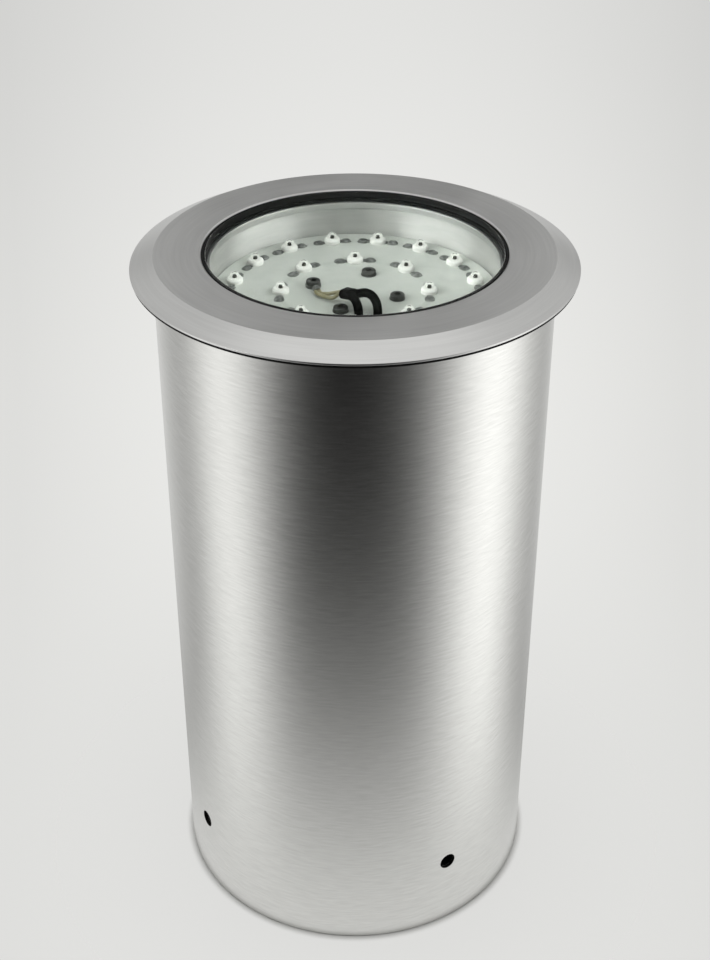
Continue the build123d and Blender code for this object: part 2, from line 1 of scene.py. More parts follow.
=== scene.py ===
import json
import math
import bmesh
import bpy
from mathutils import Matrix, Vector


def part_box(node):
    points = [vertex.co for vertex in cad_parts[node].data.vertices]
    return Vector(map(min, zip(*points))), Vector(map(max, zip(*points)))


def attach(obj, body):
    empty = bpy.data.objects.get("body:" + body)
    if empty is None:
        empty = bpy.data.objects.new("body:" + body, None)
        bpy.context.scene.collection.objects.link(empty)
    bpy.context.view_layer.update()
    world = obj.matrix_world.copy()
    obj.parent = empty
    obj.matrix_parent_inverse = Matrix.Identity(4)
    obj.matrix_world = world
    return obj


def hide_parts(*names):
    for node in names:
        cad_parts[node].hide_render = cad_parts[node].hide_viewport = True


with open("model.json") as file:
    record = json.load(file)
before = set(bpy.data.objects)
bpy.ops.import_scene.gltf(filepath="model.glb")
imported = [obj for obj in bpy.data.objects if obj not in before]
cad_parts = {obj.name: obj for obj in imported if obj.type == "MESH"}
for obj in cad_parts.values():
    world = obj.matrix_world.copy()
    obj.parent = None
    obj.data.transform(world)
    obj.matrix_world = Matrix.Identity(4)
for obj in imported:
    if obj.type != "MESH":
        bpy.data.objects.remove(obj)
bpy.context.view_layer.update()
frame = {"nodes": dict(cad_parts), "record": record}        # the sleeve, and the lamp insert that lifts out of it
scene = bpy.context.scene
mm = 0.001
weldGap = 0.001 * mm     # points nearer than this become one
sleeveBody = "sleeve_body"
insertBody = "light_insert"
print("frame loaded:", len(frame["nodes"]), "nodes")

noise = {"span": (0.3, 0.7), "detail": 2.0, "cloudDetail": 3.0}     # the span is where most of a noise lies


# node trees, for finishes and for shapes
def setInputs(tree, node, inputs):
    for key, value in inputs.items():
        if isinstance(value, bpy.types.NodeSocket):
            tree.links.new(value, node.inputs[key])
        else:
            node.inputs[key].default_value = value


def addNode(tree, kind, inputs=None, **settings):
    node = tree.nodes.new(kind)
    for name, value in settings.items():
        setattr(node, name, value)
    setInputs(tree, node, inputs or {})
    return node


def calc(tree, operation, *values):
    return addNode(tree, "ShaderNodeMath", dict(enumerate(values)), operation=operation).outputs[0]


def vectorCalc(tree, operation, inputs):
    return addNode(tree, "ShaderNodeVectorMath", inputs, operation=operation).outputs


def pointOf(tree, *values):
    return addNode(tree, "ShaderNodeCombineXYZ", dict(enumerate(values))).outputs[0]


def splitPoint(tree, point):
    return addNode(tree, "ShaderNodeSeparateXYZ", {0: point}).outputs


def ramp(tree, value, span, low, high, kind="LINEAR"):
    sizes = {0: value, 1: span[0], 2: span[1], 3: low, 4: high}
    return addNode(tree, "ShaderNodeMapRange", sizes, interpolation_type=kind).outputs[0]


def softRamp(tree, value, span, low=0, high=1):
    return ramp(tree, value, span, low, high, "SMOOTHSTEP")


def blend(tree, share, first, second):
    return ramp(tree, share, (0, 1), first, second)


def weigh(tree, first, share, second):
    # a share of the first number, with what is left of the second
    return calc(tree, "MULTIPLY_ADD", first, share, calc(tree, "MULTIPLY", second, 1 - share))


def mixColour(tree, share, first, second):
    colours = {0: share, 6: first, 7: second}
    return addNode(tree, "ShaderNodeMix", colours, data_type="RGBA").outputs[2]


def mixShader(tree, share, first, second):
    return addNode(tree, "ShaderNodeMixShader", {0: share, 1: first, 2: second}).outputs[0]


def speckle(tree, place, scale, detail=noise["detail"]):
    sizes = {"Vector": place, "Scale": scale, "Detail": detail}
    return addNode(tree, "ShaderNodeTexNoise", sizes).outputs[0]


def bumpOf(tree, strength, depth, height):
    sizes = {"Strength": strength, "Distance": depth, "Height": height}
    return addNode(tree, "ShaderNodeBump", sizes).outputs[0]


# finishes
def newFinish(name):
    material = bpy.data.materials.new(name)
    material.use_nodes = True
    return material, material.node_tree, material.node_tree.nodes["Principled BSDF"]


def showShader(tree, shader):
    tree.links.new(shader, tree.nodes["Material Output"].inputs["Surface"])


def objectPlace(tree):
    return addNode(tree, "ShaderNodeTexCoord").outputs["Object"]


def axisPlace(tree):
    # the direction round the light's axis, the distance from it and the height
    parts = splitPoint(tree, objectPlace(tree))
    flat = pointOf(tree, parts[0], parts[1], 0.0)
    radius = vectorCalc(tree, "LENGTH", {0: flat})["Value"]
    around = vectorCalc(tree, "NORMALIZE", {0: flat})[0]
    return around, radius, parts[2]


def grainRound(tree, axis, turn, width):
    # noise drawn out round the axis: turn is a grain's length in radians, width its breadth in metres
    around, radius, height = axis
    parts = splitPoint(tree, around)
    across = calc(tree, "DIVIDE", parts[0], turn)
    along = calc(tree, "DIVIDE", parts[1], turn)
    place = pointOf(tree, across, along, calc(tree, "DIVIDE", radius, width))
    layer = calc(tree, "DIVIDE", height, width)
    sizes = {"Vector": place, "W": layer, "Scale": 1.0, "Detail": noise["detail"]}
    return addNode(tree, "ShaderNodeTexNoise", sizes, noise_dimensions="4D").outputs[0]


brush = {
    "hairShare": 0.35, "streakSpan": (0.36, 0.64), "cloudShare": 0.5, "unevenSpan": (0.35, 0.65),
    "bumpDepth": 0.02 * mm, "anisotropyTurn": 0.25,
    # how deep in the wall the painted shade inside a hole starts and ends
    "holeStart": (0.01 * mm, 0.04 * mm), "holeEnd": (1.7 * mm, 1.85 * mm), "holeRoughness": 0.7,
}


def brushSteel(name, look):
    # steel brushed round the axis: fine hair lines, longer soft wisps and a little cloudiness
    material, tree, shader = newFinish(name)
    axis = axisPlace(tree)
    hair = grainRound(tree, axis, look["hairTurn"], look["hairWidth"])
    wisp = grainRound(tree, axis, look["wispTurn"], look["wispWidth"])
    cloud = speckle(tree, objectPlace(tree), look["cloudScale"], noise["cloudDetail"])
    streak = weigh(tree, hair, brush["hairShare"], wisp)
    colour = mixColour(tree, ramp(tree, streak, brush["streakSpan"], 0, 1), look["dark"], look["light"])
    uneven = weigh(tree, cloud, brush["cloudShare"], streak)
    roughness = ramp(tree, uneven, brush["unevenSpan"], *look["roughness"])
    if "paintedHoleShade" in look:
        # painted shade: whatever lies within the wall's thickness is made near black and dull, that is the
        # drain-hole bores and also the tube's top and foot faces
        deep = calc(tree, "SUBTRACT", look["skin"], axis[1])
        holeShadeShare = ramp(tree, deep, brush["holeStart"], 0, 1)
        holeShadeShare = calc(tree, "MULTIPLY", holeShadeShare, ramp(tree, deep, brush["holeEnd"], 1, 0))
        colour = mixColour(tree, holeShadeShare, colour, look["paintedHoleShade"])
        roughness = blend(tree, holeShadeShare, roughness, brush["holeRoughness"])
    parts = splitPoint(tree, axis[0])
    tangent = pointOf(tree, calc(tree, "MULTIPLY", parts[1], -1.0), parts[0], 0.0)
    setInputs(tree, shader, {
        "Base Color": colour, "Metallic": look["metallic"], "Roughness": roughness, "Tangent": tangent,
        "Anisotropic": look["anisotropy"], "Anisotropic Rotation": brush["anisotropyTurn"],
        "Normal": bumpOf(tree, look["bump"], brush["bumpDepth"], hair),
    })
    return material


skinDepth = 0.05 * mm     # depth of the grain in skins and lacquer


def mottleSkin(name, look):
    # moulded, cast, coated or plated skins: mottled colour, with a grain in gloss and surface
    material, tree, shader = newFinish(name)
    place = objectPlace(tree)
    mottle = speckle(tree, place, look["mottleScale"], noise["cloudDetail"])
    grain = speckle(tree, place, look["grainScale"])
    setInputs(tree, shader, {
        "Base Color": mixColour(tree, ramp(tree, mottle, noise["span"], 0, 1), look["dark"], look["light"]),
        "Metallic": look.get("metallic", 0.0), "Specular IOR Level": look.get("specular", 0.5),
        "Roughness": ramp(tree, grain, noise["span"], *look["roughness"]),
        "Normal": bumpOf(tree, look["bump"], skinDepth, grain),
    })
    return material


def clearFinish(name, look):
    # clear glass or resin that lets the lamps' light through to what it covers
    material, tree, shader = newFinish(name)
    tint = ramp(tree, speckle(tree, objectPlace(tree), look["tintScale"]), noise["span"], 0, 1)
    setInputs(tree, shader, {
        "Base Color": mixColour(tree, tint, look["dark"], look["light"]),
        "Roughness": look["roughness"], "IOR": look["index"], "Transmission Weight": 1.0,
    })
    path = addNode(tree, "ShaderNodeLightPath").outputs
    through = addNode(tree, "ShaderNodeBsdfTransparent", {"Color": look["light"]}).outputs[0]
    soft = mixShader(tree, path["Is Diffuse Ray"], shader.outputs[0], through)
    showShader(tree, mixShader(tree, path["Is Shadow Ray"], soft, through))
    return material


def boardLacquer(name, look):
    # white lacquer over copper: faint raised tracks join the LEDs, with stains from soldering
    material, tree, shader = newFinish(name)
    place = objectPlace(tree)
    radius = axisPlace(tree)[1]
    edge = look["trackWidth"] * mm / 2
    tracks = 0.0
    for trackRadius in look["trackRings"]:
        off = calc(tree, "ABSOLUTE", calc(tree, "SUBTRACT", radius, trackRadius * mm))
        near = ramp(tree, off, (edge, edge + look["trackEdge"] * mm), 1, 0)
        tracks = calc(tree, "MAXIMUM", tracks, near)
    stain = speckle(tree, place, look["stainScale"], look["stainDetail"])
    stain = ramp(tree, stain, look["stainSpan"], 0, look["stainShare"])
    trackShare = calc(tree, "MULTIPLY", tracks, look["trackShare"])
    colour = mixColour(tree, trackShare, look["light"], look["track"])
    colour = mixColour(tree, stain, colour, look["stain"])
    grain = speckle(tree, place, look["grainScale"])
    height = calc(tree, "MULTIPLY_ADD", grain, look["grainShare"], tracks)
    setInputs(tree, shader, {
        "Base Color": colour, "Roughness": ramp(tree, grain, noise["span"], *look["roughness"]),
        "Normal": bumpOf(tree, look["bump"], skinDepth, height),
    })
    return material


# roughness is given as its lowest and highest value, where it varies
finishes = {
    "sleeve_steel": brushSteel("sleeveBrushed", {
        "light": (0.66, 0.66, 0.645, 1), "dark": (0.59, 0.59, 0.575, 1), "roughness": (0.18, 0.22),
        "hairTurn": 0.08, "hairWidth": 0.25 * mm, "wispTurn": 0.1, "wispWidth": 0.9 * mm,
        "cloudScale": 22.0, "anisotropy": 0.8, "bump": 0.12, "metallic": 1.0,
        # near-black painted shade for the insides of the drain holes
        "skin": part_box("sleeve")[1].x, "paintedHoleShade": (0.02, 0.02, 0.019, 1),
    }),
    "ring_steel": brushSteel("ringTurned", {
        "light": (0.63, 0.63, 0.625, 1), "dark": (0.575, 0.575, 0.57, 1), "roughness": (0.28, 0.34),
        "hairTurn": 0.3, "hairWidth": 0.22 * mm, "wispTurn": 0.4, "wispWidth": 1.2 * mm,
        "cloudScale": 30.0, "anisotropy": 0.5, "bump": 0.08, "metallic": 1.0,
    }),
    "can_steel": brushSteel("canDrawn", {
        "light": (0.8, 0.8, 0.78, 1), "dark": (0.68, 0.68, 0.665, 1), "roughness": (0.45, 0.55),
        "hairTurn": 0.25, "hairWidth": 0.4 * mm, "wispTurn": 0.3, "wispWidth": 4.0 * mm,
        "cloudScale": 45.0, "anisotropy": 1.0, "bump": 0.1, "metallic": 0.85,
    }),
    "spring_steel": mottleSkin("springStrip", {
        "light": (0.56, 0.55, 0.52, 1), "dark": (0.44, 0.43, 0.4, 1), "roughness": (0.22, 0.34),
        "mottleScale": 160.0, "grainScale": 2200.0, "bump": 0.1, "metallic": 1.0,
    }),
    "fastener_steel": mottleSkin("screwSteel", {
        "light": (0.14, 0.14, 0.136, 1), "dark": (0.07, 0.074, 0.07, 1), "roughness": (0.32, 0.48),
        "mottleScale": 320.0, "grainScale": 2600.0, "bump": 0.2, "metallic": 1.0,
    }),
    "solder": mottleSkin("solderGrey", {
        "light": (0.3, 0.31, 0.3, 1), "dark": (0.1, 0.105, 0.1, 1), "roughness": (0.3, 0.54),
        "mottleScale": 700.0, "grainScale": 2400.0, "bump": 0.35, "metallic": 0.8,
    }),
    "pillar_metal": mottleSkin("pillarBar", {
        "light": (0.74, 0.74, 0.75, 1), "dark": (0.64, 0.64, 0.65, 1), "roughness": (0.28, 0.4),
        "mottleScale": 200.0, "grainScale": 2000.0, "bump": 0.12, "metallic": 1.0,
    }),
    "tray_metal": mottleSkin("traySheet", {
        "light": (0.78, 0.78, 0.79, 1), "dark": (0.68, 0.68, 0.69, 1), "roughness": (0.34, 0.46),
        "mottleScale": 90.0, "grainScale": 1500.0, "bump": 0.1, "metallic": 1.0,
    }),
    "gland_metal": mottleSkin("glandPlate", {
        "light": (0.7, 0.67, 0.61, 1), "dark": (0.6, 0.57, 0.5, 1), "roughness": (0.21, 0.33),
        "mottleScale": 180.0, "grainScale": 1800.0, "bump": 0.1, "metallic": 1.0,
    }),
    "black_rubber": mottleSkin("sealRubber", {
        "light": (0.01, 0.0105, 0.01, 1), "dark": (0.005, 0.005, 0.005, 1), "roughness": (0.45, 0.65),
        "mottleScale": 240.0, "grainScale": 3000.0, "bump": 0.25, "specular": 0.06,
    }),
    "black_cover": mottleSkin("blackSheath", {
        "light": (0.006, 0.006, 0.0057, 1), "dark": (0.003, 0.003, 0.003, 1), "roughness": (0.34, 0.5),
        "mottleScale": 400.0, "grainScale": 2400.0, "bump": 0.15, "specular": 0.02,
    }),
    "tan_cover": mottleSkin("oliveSheath", {
        "light": (0.36, 0.33, 0.2, 1), "dark": (0.24, 0.215, 0.12, 1), "roughness": (0.32, 0.48),
        "mottleScale": 380.0, "grainScale": 2400.0, "bump": 0.12,
    }),
    "feed_cover": mottleSkin("brownSheath", {
        "light": (0.15, 0.09, 0.05, 1), "dark": (0.09, 0.05, 0.03, 1), "roughness": (0.34, 0.5),
        "mottleScale": 300.0, "grainScale": 2200.0, "bump": 0.12,
    }),
    "led_white": mottleSkin("ledMoulding", {
        "light": (0.92, 0.915, 0.89, 1), "dark": (0.84, 0.835, 0.81, 1), "roughness": (0.28, 0.4),
        "mottleScale": 500.0, "grainScale": 2800.0, "bump": 0.08,
    }),
    "led_die": mottleSkin("ledChip", {
        "light": (0.05, 0.048, 0.04, 1), "dark": (0.015, 0.015, 0.014, 1), "roughness": (0.25, 0.45),
        "mottleScale": 1800.0, "grainScale": 3500.0, "bump": 0.2,
    }),
    "driver_plastic": mottleSkin("driverMoulding", {
        "light": (0.05, 0.05, 0.055, 1), "dark": (0.03, 0.03, 0.034, 1), "roughness": (0.42, 0.58),
        "mottleScale": 140.0, "grainScale": 1600.0, "bump": 0.3,
    }),
    "potting": mottleSkin("driverResin", {
        "light": (0.12, 0.12, 0.13, 1), "dark": (0.08, 0.08, 0.09, 1), "roughness": (0.2, 0.4),
        "mottleScale": 90.0, "grainScale": 600.0, "bump": 0.2,
    }),
    "terminal_plastic": mottleSkin("terminalMoulding", {
        "light": (0.83, 0.81, 0.73, 1), "dark": (0.75, 0.73, 0.65, 1), "roughness": (0.3, 0.42),
        "mottleScale": 200.0, "grainScale": 1800.0, "bump": 0.1,
    }),
    "lens_glass": clearFinish("lensClear", {
        "light": (0.965, 0.985, 0.972, 1), "dark": (0.955, 0.978, 0.965, 1), "tintScale": 18.0,
        "roughness": 0.0, "index": 1.52,
    }),
    "led_clear": clearFinish("ledCap", {
        "light": (0.97, 0.975, 0.96, 1), "dark": (0.93, 0.94, 0.92, 1), "tintScale": 300.0,
        "roughness": 0.03, "index": 1.41,
    }),
    "board_white": boardLacquer("boardWhite", {
        "light": (0.545, 0.56, 0.53, 1), "track": (0.455, 0.475, 0.44, 1), "stain": (0.38, 0.405, 0.365, 1),
        "trackRings": (56.0, 33.5), "trackWidth": 2.2, "trackEdge": 0.25, "trackShare": 0.6,
        "stainScale": 110.0, "stainDetail": 4.0, "stainSpan": (0.45, 0.72), "stainShare": 0.35,
        "grainScale": 900.0, "grainShare": 0.15, "roughness": (0.3, 0.42), "bump": 0.3,
    }),
}
slotOf = {row["node"]: row["material_slot"] for row in frame["record"]["subparts"]}
for node, cadObject in frame["nodes"].items():
    for slot in cadObject.material_slots:
        slot.link = "OBJECT"
        slot.material = finishes[slotOf[node]]
print("finishes made:", len(finishes))

# edges that turn by more degrees than this are shaded sharp
sharp = {"turned": 60, "copied": 50, "cut": 40, "welded": 32}


# pieces
def settle(piece, node, body=insertBody):
    # a finished piece stands for its node and moves with a body
    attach(piece, body)
    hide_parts(node)


def addPiece(name, mesh):
    piece = bpy.data.objects.new(name, mesh)
    scene.collection.objects.link(piece)
    return piece


def bakeShape(piece):
    graph = bpy.context.evaluated_depsgraph_get()
    made = bpy.data.meshes.new_from_object(piece.evaluated_get(graph), depsgraph=graph)
    piece.modifiers.clear()
    piece.data = made


def shadeMesh(mesh, sharpAngle):
    mesh.shade_smooth()
    mesh.set_sharp_from_angle(angle=math.radians(sharpAngle))


def faceOut(mesh, sharpAngle):
    shape = bmesh.new()
    shape.from_mesh(mesh)
    bmesh.ops.recalc_face_normals(shape, faces=shape.faces)
    shape.to_mesh(mesh)
    shape.free()
    shadeMesh(mesh, sharpAngle)


def newTree(name, inputs):
    tree = bpy.data.node_groups.new(name, "GeometryNodeTree")
    tree.interface.new_socket("Geometry", in_out="INPUT", socket_type="NodeSocketGeometry")
    for label, kind in inputs.items():
        tree.interface.new_socket(label, in_out="INPUT", socket_type="NodeSocket" + kind)
    tree.interface.new_socket("Geometry", in_out="OUTPUT", socket_type="NodeSocketGeometry")
    return tree, tree.nodes.new("NodeGroupInput").outputs


def endTree(tree, shape, material):
    whole = addNode(tree, "GeometryNodeRealizeInstances", {0: shape}).outputs[0]
    dressed = addNode(tree, "GeometryNodeSetMaterial", {0: whole, "Material": material}).outputs[0]
    tree.links.new(dressed, tree.nodes.new("NodeGroupOutput").inputs[0])


def runTree(tree, name, mesh, values):
    piece = addPiece(name, mesh)
    modifier = piece.modifiers.new(tree.name, "NODES")
    modifier.node_group = tree
    for socket in tree.interface.items_tree:
        if socket.in_out == "INPUT" and socket.name in values:
            modifier[socket.identifier] = values[socket.name]
    bakeShape(piece)
    return piece


def latheTree():
    # turns an outline, given as points of (radius, 0, height), round the vertical axis
    tree, given = newTree("lathe", {"Segments": "Int", "Loop": "Int", "Material": "Material"})
    outline = given["Geometry"]
    count = addNode(tree, "GeometryNodeAttributeDomainSize", {0: outline}).outputs["Point Count"]
    rows = calc(tree, "ADD", given["Segments"], 1.0)
    columns = calc(tree, "ADD", count, given["Loop"])
    grid = addNode(tree, "GeometryNodeMeshGrid", {"Vertices X": columns, "Vertices Y": rows}).outputs[0]
    index = tree.nodes.new("GeometryNodeInputIndex").outputs[0]
    # half a step more keeps whole numbers from rounding down
    column = calc(tree, "FLOOR", calc(tree, "DIVIDE", calc(tree, "ADD", index, 0.5), rows))
    row = calc(tree, "SUBTRACT", index, calc(tree, "MULTIPLY", column, rows))
    turn = calc(tree, "MULTIPLY", calc(tree, "DIVIDE", row, given["Segments"]), math.tau)
    sampled = {
        "Geometry": outline, "Value": tree.nodes.new("GeometryNodeInputPosition").outputs[0],
        "Index": calc(tree, "MODULO", column, count),
    }
    point = addNode(tree, "GeometryNodeSampleIndex", sampled, data_type="FLOAT_VECTOR").outputs[0]
    parts = splitPoint(tree, point)
    across = calc(tree, "MULTIPLY", parts[0], calc(tree, "COSINE", turn))
    along = calc(tree, "MULTIPLY", parts[0], calc(tree, "SINE", turn))
    shape = {"Geometry": grid, "Position": pointOf(tree, across, along, parts[2])}
    turned = addNode(tree, "GeometryNodeSetPosition", shape).outputs[0]
    welded = addNode(tree, "GeometryNodeMergeByDistance", {"Geometry": turned, "Distance": weldGap})
    endTree(tree, welded.outputs[0], given["Material"])
    return tree


lump = {"scale": 650.0, "detail": 1.0}


def ringTree():
    # sets copies of one piece round a circle, each facing the middle, with a little scatter
    tree, given = newTree("ringOfPieces", {
        "Count": "Int", "Radius": "Float", "Turn": "Float", "Height": "Float", "Raised": "Int",
        "Rise": "Float", "Yaw": "Float", "Growth": "Float", "Lumps": "Float", "Seed": "Int",
        "Material": "Material",
    })
    index = tree.nodes.new("GeometryNodeInputIndex").outputs[0]
    share = calc(tree, "DIVIDE", index, given["Count"])
    turn = calc(tree, "MULTIPLY_ADD", share, math.tau, given["Turn"])
    lift = calc(tree, "MULTIPLY", calc(tree, "COMPARE", index, given["Raised"], 0.5), given["Rise"])
    spot = pointOf(
        tree,
        calc(tree, "MULTIPLY", given["Radius"], calc(tree, "COSINE", turn)),
        calc(tree, "MULTIPLY", given["Radius"], calc(tree, "SINE", turn)),
        calc(tree, "ADD", given["Height"], lift),
    )
    points = addNode(tree, "GeometryNodePoints", {"Count": given["Count"], "Position": spot}).outputs[0]
    swing = {2: calc(tree, "MULTIPLY", given["Yaw"], -1.0), 3: given["Yaw"], "Seed": given["Seed"]}
    yaw = addNode(tree, "FunctionNodeRandomValue", swing).outputs[1]
    swell = {
        2: calc(tree, "SUBTRACT", 1.0, given["Growth"]), 3: calc(tree, "ADD", 1.0, given["Growth"]),
        "Seed": calc(tree, "ADD", given["Seed"], 1.0),
    }
    growth = addNode(tree, "FunctionNodeRandomValue", swell).outputs[1]
    copies = addNode(tree, "GeometryNodeInstanceOnPoints", {
        "Points": points, "Instance": given["Geometry"], "Scale": growth,
        "Rotation": pointOf(tree, 0.0, 0.0, calc(tree, "ADD", turn, yaw)),
    }).outputs[0]
    whole = addNode(tree, "GeometryNodeRealizeInstances", {0: copies}).outputs[0]
    grain = {"Scale": lump["scale"], "Detail": lump["detail"]}
    lumps = addNode(tree, "ShaderNodeTexNoise", grain).outputs[1]
    push = vectorCalc(tree, "SUBTRACT", {0: lumps, 1: (0.5, 0.5, 0.5)})[0]     # in and out alike
    push = vectorCalc(tree, "SCALE", {0: push, 3: given["Lumps"]})[0]
    lumpy = addNode(tree, "GeometryNodeSetPosition", {"Geometry": whole, "Offset": push}).outputs[0]
    endTree(tree, lumpy, given["Material"])
    return tree


lathe = latheTree()
ringOfPieces = ringTree()
easing = {"steps": 4, "support": 0.12}     # a support point beside each rounding keeps flats flat


def easeCorners(corners):
    # corners are (radius, height, rounding) in mm
    outline = []
    for place, (radius, height, rounding) in enumerate(corners):
        here = Vector((radius, height))
        if rounding == 0:
            outline.append(here)
            continue
        before = Vector(corners[place - 1][:2]) - here
        after = Vector(corners[(place + 1) % len(corners)][:2]) - here
        half = before.angle(after) / 2
        reach = rounding / math.tan(half)
        before.normalize()
        after.normalize()
        middle = here + (before + after).normalized() * rounding / math.sin(half)
        first = here + before * reach - middle
        last = here + after * reach - middle
        outline.append(here + before * (reach + easing["support"]))
        for step in range(easing["steps"] + 1):
            outline.append(middle + first.slerp(last, step / easing["steps"]) * rounding)
        outline.append(here + after * (reach + easing["support"]))
    return outline


def tubeOutline(inner, outer, foot, top, edge):
    return easeCorners([(inner, foot, edge), (outer, foot, edge), (outer, top, edge), (inner, top, edge)])


def plugOutline(radius, foot, top):
    return [(0, foot), (radius, foot), (radius, top), (0, top)]


def outlineMesh(outline):
    mesh = bpy.data.meshes.new("outline")
    mesh.from_pydata([(point[0] * mm, 0, point[1] * mm) for point in outline], [], [])
    return mesh


def turnPiece(name, outline, finish, segments=256, loop=True):
    values = {"Segments": segments, "Loop": int(loop), "Material": finishes[finish]}
    piece = runTree(lathe, name, outlineMesh(outline), values)
    faceOut(piece.data, sharp["turned"])
    return piece


def ringCopies(name, mesh, ring, height, finish, lumps=0.0, yaw=0.0, growth=0.0, raised=-1, rise=0.0):
    # lengths in mm and turns in degrees: the copy numbered raised stands higher by rise
    return runTree(ringOfPieces, name, mesh, {
        "Count": ring["count"], "Radius": ring["radius"] * mm, "Turn": math.radians(ring["turn"]),
        "Height": height * mm, "Raised": raised, "Rise": rise * mm, "Yaw": math.radians(yaw),
        "Growth": growth, "Lumps": lumps * mm, "Seed": ring["seed"], "Material": finishes[finish],
    })


def setRing(name, node, mesh, ring, height, **scatter):
    piece = ringCopies(name, mesh, ring, height, slotOf[node], **scatter)
    faceOut(piece.data, sharp["copied"])
    settle(piece, node)


def cutAway(piece, cutter):
    modifier = piece.modifiers.new("cut", "BOOLEAN")
    modifier.operation = "DIFFERENCE"
    modifier.solver = "EXACT"
    modifier.object = cutter
    bakeShape(piece)
    bpy.data.objects.remove(cutter)
    shadeMesh(piece.data, sharp["cut"])


def weldNode(name, node, fuller=0.0):
    # a node whose shape is right, welded and smoothly shaded, and swollen by some mm where it is soft
    shape = bmesh.new()
    shape.from_mesh(frame["nodes"][node].data)
    bmesh.ops.remove_doubles(shape, verts=shape.verts, dist=weldGap)
    shape.normal_update()
    for vertex in shape.verts:
        vertex.co += vertex.normal * fuller * mm
    shape.verts.index_update()
    points = [vertex.co.copy() for vertex in shape.verts]
    faces = [[vertex.index for vertex in face.verts] for face in shape.faces]
    shape.free()
    mesh = bpy.data.meshes.new(name)
    mesh.from_pydata(points, [], faces)
    mesh.materials.append(finishes[slotOf[node]])
    shadeMesh(mesh, sharp["welded"])
    settle(addPiece(name, mesh), node)


def boxOf(node):
    # outer radius, foot and top of a round node, in mm
    low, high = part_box(node)
    return high.x / mm, low.z / mm, high.z / mm


# sleeve with its drain holes, whose outer edge is flared a little
sleeve = {"wall": 2.0, "edge": 0.35, "segments": 360}
sleeveRadius, sleeveFoot, sleeveTop = boxOf("sleeve")
outline = tubeOutline(sleeveRadius - sleeve["wall"], sleeveRadius, sleeveFoot, sleeveTop, sleeve["edge"])
sleeveTube = turnPiece("sleeveTube", outline, "sleeve_steel", sleeve["segments"])
drain = {"radius": 4.25, "height": 40.0, "flare": 0.15, "inward": 4.0, "outward": 1.0, "segments": 64}
drainRing = {"count": 4, "radius": sleeveRadius, "turn": 31.3, "seed": 0}
drill = turnPiece("drill", [
    (0, -drain["inward"]), (drain["radius"], -drain["inward"]), (drain["radius"], -drain["flare"]),
    (drain["radius"] + drain["flare"] + drain["outward"], drain["outward"]), (0, drain["outward"]),
], "sleeve_steel", drain["segments"], loop=False)
drill.data.transform(Vector((1, 0, 0)).to_track_quat("Z", "Y").to_matrix().to_4x4())
drills = ringCopies("drills", drill.data, drainRing, drain["height"], "sleeve_steel")
bpy.data.objects.remove(drill)
cutAway(sleeveTube, drills)
settle(sleeveTube, "sleeve", body=sleeveBody)
print("sleeve made")

# trim ring, with its bevel, rim and ledge
trim = {"rim": 0.9, "bevelWidth": 10.5, "opening": 68.3, "chamfer": 0.6, "ledge": 64.6, "ledgeDepth": 11.8,
        "hub": 82.0, "flange": 6.0, "edge": 0.22, "rimEdge": 0.3, "openingEdge": 0.15, "segments": 320}
trimRadius, trimFoot, trimTop = boxOf("trim_ring")
flangeFoot = trimTop - trim["flange"]
ledgeTop = trimTop - trim["ledgeDepth"]
outline = easeCorners([
    (trim["ledge"], trimFoot, trim["edge"]), (trim["hub"], trimFoot, trim["edge"]),
    (trim["hub"], flangeFoot, trim["edge"]), (trimRadius, flangeFoot, trim["rimEdge"]),
    (trimRadius, flangeFoot + trim["rim"], trim["rimEdge"]),
    (trimRadius - trim["bevelWidth"], trimTop, trim["edge"]),
    (trim["opening"] + trim["chamfer"], trimTop, trim["openingEdge"]),
    (trim["opening"], trimTop - trim["chamfer"], trim["openingEdge"]),
    (trim["opening"], ledgeTop, trim["edge"]), (trim["ledge"], ledgeTop, trim["edge"]),
])
settle(turnPiece("trimRing", outline, "ring_steel", trim["segments"]), "trim_ring")
print("trim ring made")

# seal with a crowned wall and a lip under the glass
seal = {"wall": 1.2, "lip": 65.6, "floor": 1.5, "crown": 0.5, "footEdge": 0.3, "backEdge": 0.2,
        "crownEdge": 0.35, "innerEdge": 0.12, "floorEdge": 0.1}
sealRadius, sealFoot, sealTop = boxOf("glass_gasket")
sealInner = sealRadius - seal["wall"]
sealFloor = sealFoot + seal["floor"]
outline = easeCorners([
    (seal["lip"], sealFoot, seal["footEdge"]), (sealRadius, sealFoot, seal["footEdge"]),
    (sealRadius, sealTop - seal["crown"], seal["backEdge"]),
    (sealRadius - seal["wall"] / 2, sealTop, seal["crownEdge"]),
    (sealInner, sealTop - seal["crown"], seal["innerEdge"]),
    (sealInner, sealFloor, seal["floorEdge"]), (seal["lip"], sealFloor, seal["footEdge"]),
])
settle(turnPiece("lensSeal", outline, "black_rubber"), "glass_gasket")

# glass, set wet against its seal so that no air shows between them
lens = {"chamfer": 0.6, "edge": 0.15, "contact": 0.03}
lensFoot, lensTop = boxOf("glass_lens")[1:]
lensRadius = sealInner + lens["contact"]
lensFace = lensRadius - lens["chamfer"]
outline = easeCorners([
    (0, lensFoot, 0), (lensFace, lensFoot, lens["edge"]),
    (lensRadius, lensFoot + lens["chamfer"], lens["edge"]),
    (lensRadius, lensTop - lens["chamfer"], lens["edge"]),
    (lensFace, lensTop, lens["edge"]), (0, lensTop, 0),
])
settle(turnPiece("lensDisc", outline, "lens_glass", loop=False), "glass_lens")

# gasket under the ring's flange
flangeSeal = {"width": 16.4, "edge": 0.2}
gasketRadius, gasketFoot, gasketTop = boxOf("flange_gasket")
gasketBore = gasketRadius - flangeSeal["width"]
outline = tubeOutline(gasketBore, gasketRadius, gasketFoot, gasketTop, flangeSeal["edge"])
settle(turnPiece("flangeSeal", outline, "black_rubber"), "flange_gasket")
print("glass and seals made")

